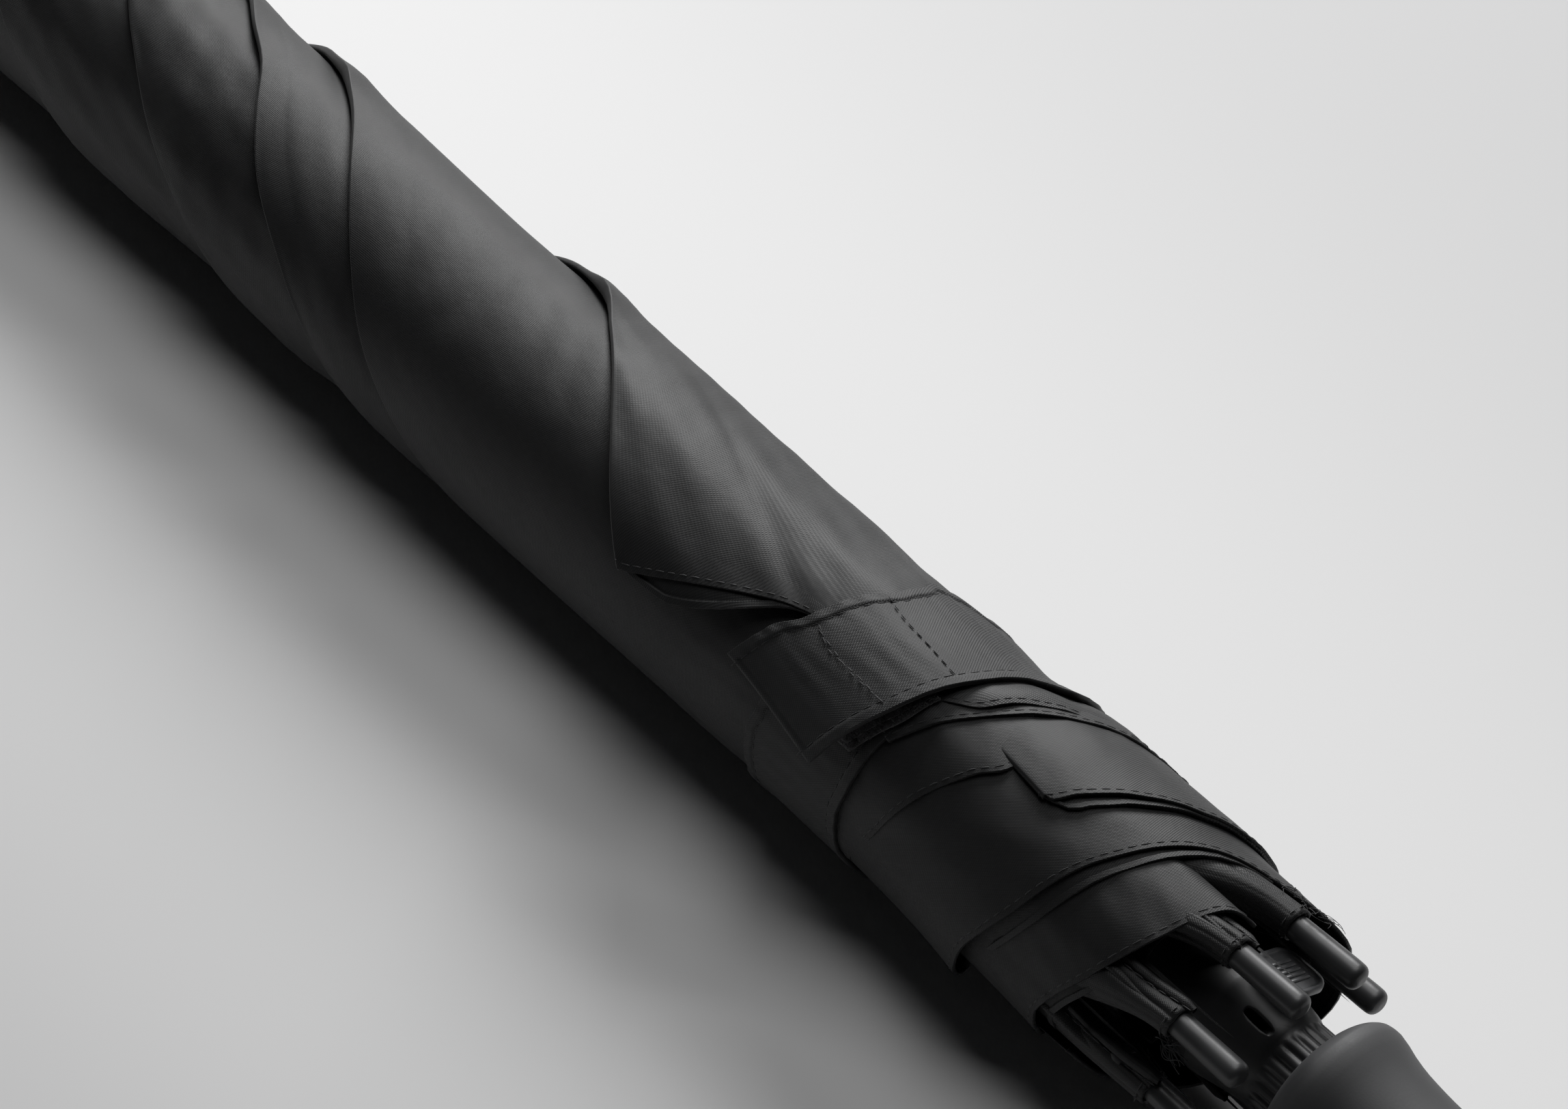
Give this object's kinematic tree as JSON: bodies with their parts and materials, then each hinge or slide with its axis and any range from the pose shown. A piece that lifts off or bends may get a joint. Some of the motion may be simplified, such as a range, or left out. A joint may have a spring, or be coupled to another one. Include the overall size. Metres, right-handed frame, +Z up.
{
  "type": "stick umbrella",
  "caption": "Long windproof stick umbrella, furled and strapped, with a sliding runner and push button, hinged ribs and stretchers and a rubber handle.",
  "frame": {"origin": "below the middle of the umbrella's length, on the surface that it lies on", "axes": "+X along the shaft towards the handle, +Z up"},
  "size_m": [0.9552, 0.062, 0.0634],
  "materials": {
    "cloth": "charcoal-black plain-weave polyester, matt with a faint sheen",
    "tape": "black hook-and-loop tape",
    "plastic": "satin black moulded plastic",
    "rubber": "matt soft-touch dark grey rubber",
    "core": "hard black plastic core",
    "fibreglass": "black pultruded fibreglass",
    "steel": "dark plated steel",
    "zinc": "bright zinc-plated wire"
  },
  "bodies": {
    "root": {"shaft": "steel", "ferrule": "plastic", "crown_cap": "plastic", "notch": "plastic", "notch_ring": "zinc", "upper_stop_collar": "plastic", "handle_core": "core", "handle_grip": "rubber", "handle_end_cap": "rubber", "canopy_wrap": "cloth", "tie_strap": "cloth", "loop_patch": "tape"},
    "runner": {"runner_crown": "plastic", "runner_ring": "zinc", "runner_body": "plastic", "button_spring": "zinc"},
    "button": {"push_button": "plastic", "catch_plate": "steel"},
    "strap_tab": {"tie_strap_tab": "cloth", "hook_patch": "tape"},
    "rib_1": {"rib_1": "fibreglass", "rib_knuckle_1": "plastic", "rib_tip_1": "plastic"},
    "stretcher_1": {"stretcher_1": "fibreglass"},
    "gore_1": {"gore_1": "cloth"},
    "rib_2": {"rib_2": "fibreglass", "rib_knuckle_2": "plastic", "rib_tip_2": "plastic"},
    "stretcher_2": {"stretcher_2": "fibreglass"},
    "gore_2": {"gore_2": "cloth"},
    "rib_3": {"rib_3": "fibreglass", "rib_knuckle_3": "plastic", "rib_tip_3": "plastic"},
    "stretcher_3": {"stretcher_3": "fibreglass"},
    "gore_3": {"gore_3": "cloth"},
    "rib_4": {"rib_4": "fibreglass", "rib_knuckle_4": "plastic", "rib_tip_4": "plastic"},
    "stretcher_4": {"stretcher_4": "fibreglass"},
    "gore_4": {"gore_4": "cloth"},
    "rib_5": {"rib_5": "fibreglass", "rib_knuckle_5": "plastic", "rib_tip_5": "plastic"},
    "stretcher_5": {"stretcher_5": "fibreglass"},
    "gore_5": {"gore_5": "cloth"},
    "rib_6": {"rib_6": "fibreglass", "rib_knuckle_6": "plastic", "rib_tip_6": "plastic"},
    "stretcher_6": {"stretcher_6": "fibreglass"},
    "gore_6": {"gore_6": "cloth"},
    "rib_7": {"rib_7": "fibreglass", "rib_knuckle_7": "plastic", "rib_tip_7": "plastic"},
    "stretcher_7": {"stretcher_7": "fibreglass"},
    "gore_7": {"gore_7": "cloth"},
    "rib_8": {"rib_8": "fibreglass", "rib_knuckle_8": "plastic", "rib_tip_8": "plastic"},
    "stretcher_8": {"stretcher_8": "fibreglass"},
    "gore_8": {"gore_8": "cloth"}
  },
  "joints": [
    {"name": "runner_slide", "type": "slide", "parent": "root", "child": "runner", "axis": [-1, 0, 0], "range_m": [0, 0.36686], "deforming": ["canopy_wrap", "tie_strap", "loop_patch", "hook_patch", "tie_strap_tab"]},
    {"name": "rib_swing_1", "type": "hinge", "parent": "root", "child": "rib_1", "pos_m": [-0.39761, -0.00087, 0.04046], "axis": [0, -0.9962, -0.0872], "range_deg": [0, 68.88]},
    {"name": "rib_swing_2", "type": "hinge", "parent": "root", "child": "rib_2", "pos_m": [-0.39761, 0.00643, 0.03816], "axis": [0, -0.766, 0.6428], "range_deg": [0, 68.88]},
    {"name": "rib_swing_3", "type": "hinge", "parent": "root", "child": "rib_3", "pos_m": [-0.39761, 0.00996, 0.03137], "axis": [0, -0.0872, 0.9962], "range_deg": [0, 68.88]},
    {"name": "rib_swing_4", "type": "hinge", "parent": "root", "child": "rib_4", "pos_m": [-0.39761, 0.00766, 0.02407], "axis": [0, 0.6428, 0.766], "range_deg": [0, 68.88]},
    {"name": "rib_swing_5", "type": "hinge", "parent": "root", "child": "rib_5", "pos_m": [-0.39761, 0.00087, 0.02054], "axis": [0, 0.9962, 0.0872], "range_deg": [0, 68.88]},
    {"name": "rib_swing_6", "type": "hinge", "parent": "root", "child": "rib_6", "pos_m": [-0.39761, -0.00643, 0.02284], "axis": [0, 0.766, -0.6428], "range_deg": [0, 68.88]},
    {"name": "rib_swing_7", "type": "hinge", "parent": "root", "child": "rib_7", "pos_m": [-0.39761, -0.00996, 0.02963], "axis": [0, 0.0872, -0.9962], "range_deg": [0, 68.88]},
    {"name": "rib_swing_8", "type": "hinge", "parent": "root", "child": "rib_8", "pos_m": [-0.39761, -0.00766, 0.03693], "axis": [0, -0.6428, -0.766], "range_deg": [0, 68.88]},
    {"name": "stretcher_swing_1", "type": "hinge", "parent": "runner", "child": "stretcher_1", "pos_m": [0.21731, -0.00109, 0.04295], "axis": [0, 0.9962, 0.0872], "range_deg": [0, 61.89]},
    {"name": "stretcher_swing_2", "type": "hinge", "parent": "runner", "child": "stretcher_2", "pos_m": [0.21731, 0.00803, 0.04008], "axis": [0, 0.766, -0.6428], "range_deg": [0, 61.89]},
    {"name": "stretcher_swing_3", "type": "hinge", "parent": "runner", "child": "stretcher_3", "pos_m": [0.21731, 0.01245, 0.03159], "axis": [0, 0.0872, -0.9962], "range_deg": [0, 61.89]},
    {"name": "stretcher_swing_4", "type": "hinge", "parent": "runner", "child": "stretcher_4", "pos_m": [0.21731, 0.00958, 0.02247], "axis": [0, -0.6428, -0.766], "range_deg": [0, 61.89]},
    {"name": "stretcher_swing_5", "type": "hinge", "parent": "runner", "child": "stretcher_5", "pos_m": [0.21731, 0.00109, 0.01805], "axis": [0, -0.9962, -0.0872], "range_deg": [0, 61.89]},
    {"name": "stretcher_swing_6", "type": "hinge", "parent": "runner", "child": "stretcher_6", "pos_m": [0.21731, -0.00803, 0.02092], "axis": [0, -0.766, 0.6428], "range_deg": [0, 61.89]},
    {"name": "stretcher_swing_7", "type": "hinge", "parent": "runner", "child": "stretcher_7", "pos_m": [0.21731, -0.01245, 0.02941], "axis": [0, -0.0872, 0.9962], "range_deg": [0, 61.89]},
    {"name": "stretcher_swing_8", "type": "hinge", "parent": "runner", "child": "stretcher_8", "pos_m": [0.21731, -0.00958, 0.03853], "axis": [0, 0.6428, 0.766], "range_deg": [0, 61.89]},
    {"name": "gore_spread_1", "type": "hinge", "parent": "rib_1", "child": "gore_1", "pos_m": [-0.40825, -0.00085, 0.04025], "axis": [-0.0195, 0.0535, 0.9984], "range_deg": [0, 42.16], "deforming": ["gore_1"]},
    {"name": "gore_spread_2", "type": "hinge", "parent": "rib_2", "child": "gore_2", "pos_m": [-0.40825, 0.00629, 0.038], "axis": [-0.0195, 0.7438, 0.6682], "range_deg": [0, 42.16], "deforming": ["gore_2"]},
    {"name": "gore_spread_3", "type": "hinge", "parent": "rib_3", "child": "gore_3", "pos_m": [-0.40825, 0.00975, 0.03135], "axis": [-0.0195, 0.9984, -0.0535], "range_deg": [0, 42.16], "deforming": ["gore_3"]},
    {"name": "gore_spread_4", "type": "hinge", "parent": "rib_4", "child": "gore_4", "pos_m": [-0.40825, 0.0075, 0.02421], "axis": [-0.0195, 0.6682, -0.7438], "range_deg": [0, 42.16], "deforming": ["gore_4"]},
    {"name": "gore_spread_5", "type": "hinge", "parent": "rib_5", "child": "gore_5", "pos_m": [-0.40825, 0.00085, 0.02075], "axis": [-0.0195, -0.0535, -0.9984], "range_deg": [0, 42.16], "deforming": ["gore_5"]},
    {"name": "gore_spread_6", "type": "hinge", "parent": "rib_6", "child": "gore_6", "pos_m": [-0.40825, -0.00629, 0.023], "axis": [-0.0195, -0.7438, -0.6682], "range_deg": [0, 42.16], "deforming": ["gore_6"]},
    {"name": "gore_spread_7", "type": "hinge", "parent": "rib_7", "child": "gore_7", "pos_m": [-0.40825, -0.00975, 0.02965], "axis": [-0.0195, -0.9984, 0.0535], "range_deg": [0, 42.16], "deforming": ["gore_7"]},
    {"name": "gore_spread_8", "type": "hinge", "parent": "rib_8", "child": "gore_8", "pos_m": [-0.40825, -0.0075, 0.03679], "axis": [-0.0195, -0.6682, 0.7438], "range_deg": [0, 42.16], "deforming": ["gore_8"]},
    {"name": "button_press", "type": "slide", "parent": "runner", "child": "button", "axis": [0, -0.454, -0.891], "range_m": [0, 0.002], "stiffness_N_per_m": 800, "springref_m": -0.0015, "deforming": ["button_spring"]},
    {"name": "strap_tab_lift", "type": "hinge", "parent": "root", "child": "strap_tab", "pos_m": [0.17776, 0.01628, 0.05869], "axis": [-1, 0, 0], "range_deg": [0, 75]}
  ],
  "couplings": [
    {"joint": "rib_swing_1", "follows": "runner_slide", "rad_per_m": 3.2765},
    {"joint": "rib_swing_2", "follows": "runner_slide", "rad_per_m": 3.2765},
    {"joint": "rib_swing_3", "follows": "runner_slide", "rad_per_m": 3.2765},
    {"joint": "rib_swing_4", "follows": "runner_slide", "rad_per_m": 3.2765},
    {"joint": "rib_swing_5", "follows": "runner_slide", "rad_per_m": 3.2765},
    {"joint": "rib_swing_6", "follows": "runner_slide", "rad_per_m": 3.2765},
    {"joint": "rib_swing_7", "follows": "runner_slide", "rad_per_m": 3.2765},
    {"joint": "rib_swing_8", "follows": "runner_slide", "rad_per_m": 3.2765},
    {"joint": "stretcher_swing_1", "follows": "runner_slide", "rad_per_m": 2.9439},
    {"joint": "stretcher_swing_2", "follows": "runner_slide", "rad_per_m": 2.9439},
    {"joint": "stretcher_swing_3", "follows": "runner_slide", "rad_per_m": 2.9439},
    {"joint": "stretcher_swing_4", "follows": "runner_slide", "rad_per_m": 2.9439},
    {"joint": "stretcher_swing_5", "follows": "runner_slide", "rad_per_m": 2.9439},
    {"joint": "stretcher_swing_6", "follows": "runner_slide", "rad_per_m": 2.9439},
    {"joint": "stretcher_swing_7", "follows": "runner_slide", "rad_per_m": 2.9439},
    {"joint": "stretcher_swing_8", "follows": "runner_slide", "rad_per_m": 2.9439},
    {"joint": "gore_spread_1", "follows": "runner_slide", "rad_per_m": 2.0053},
    {"joint": "gore_spread_2", "follows": "runner_slide", "rad_per_m": 2.0053},
    {"joint": "gore_spread_3", "follows": "runner_slide", "rad_per_m": 2.0053},
    {"joint": "gore_spread_4", "follows": "runner_slide", "rad_per_m": 2.0053},
    {"joint": "gore_spread_5", "follows": "runner_slide", "rad_per_m": 2.0053},
    {"joint": "gore_spread_6", "follows": "runner_slide", "rad_per_m": 2.0053},
    {"joint": "gore_spread_7", "follows": "runner_slide", "rad_per_m": 2.0053},
    {"joint": "gore_spread_8", "follows": "runner_slide", "rad_per_m": 2.0053}
  ]
}
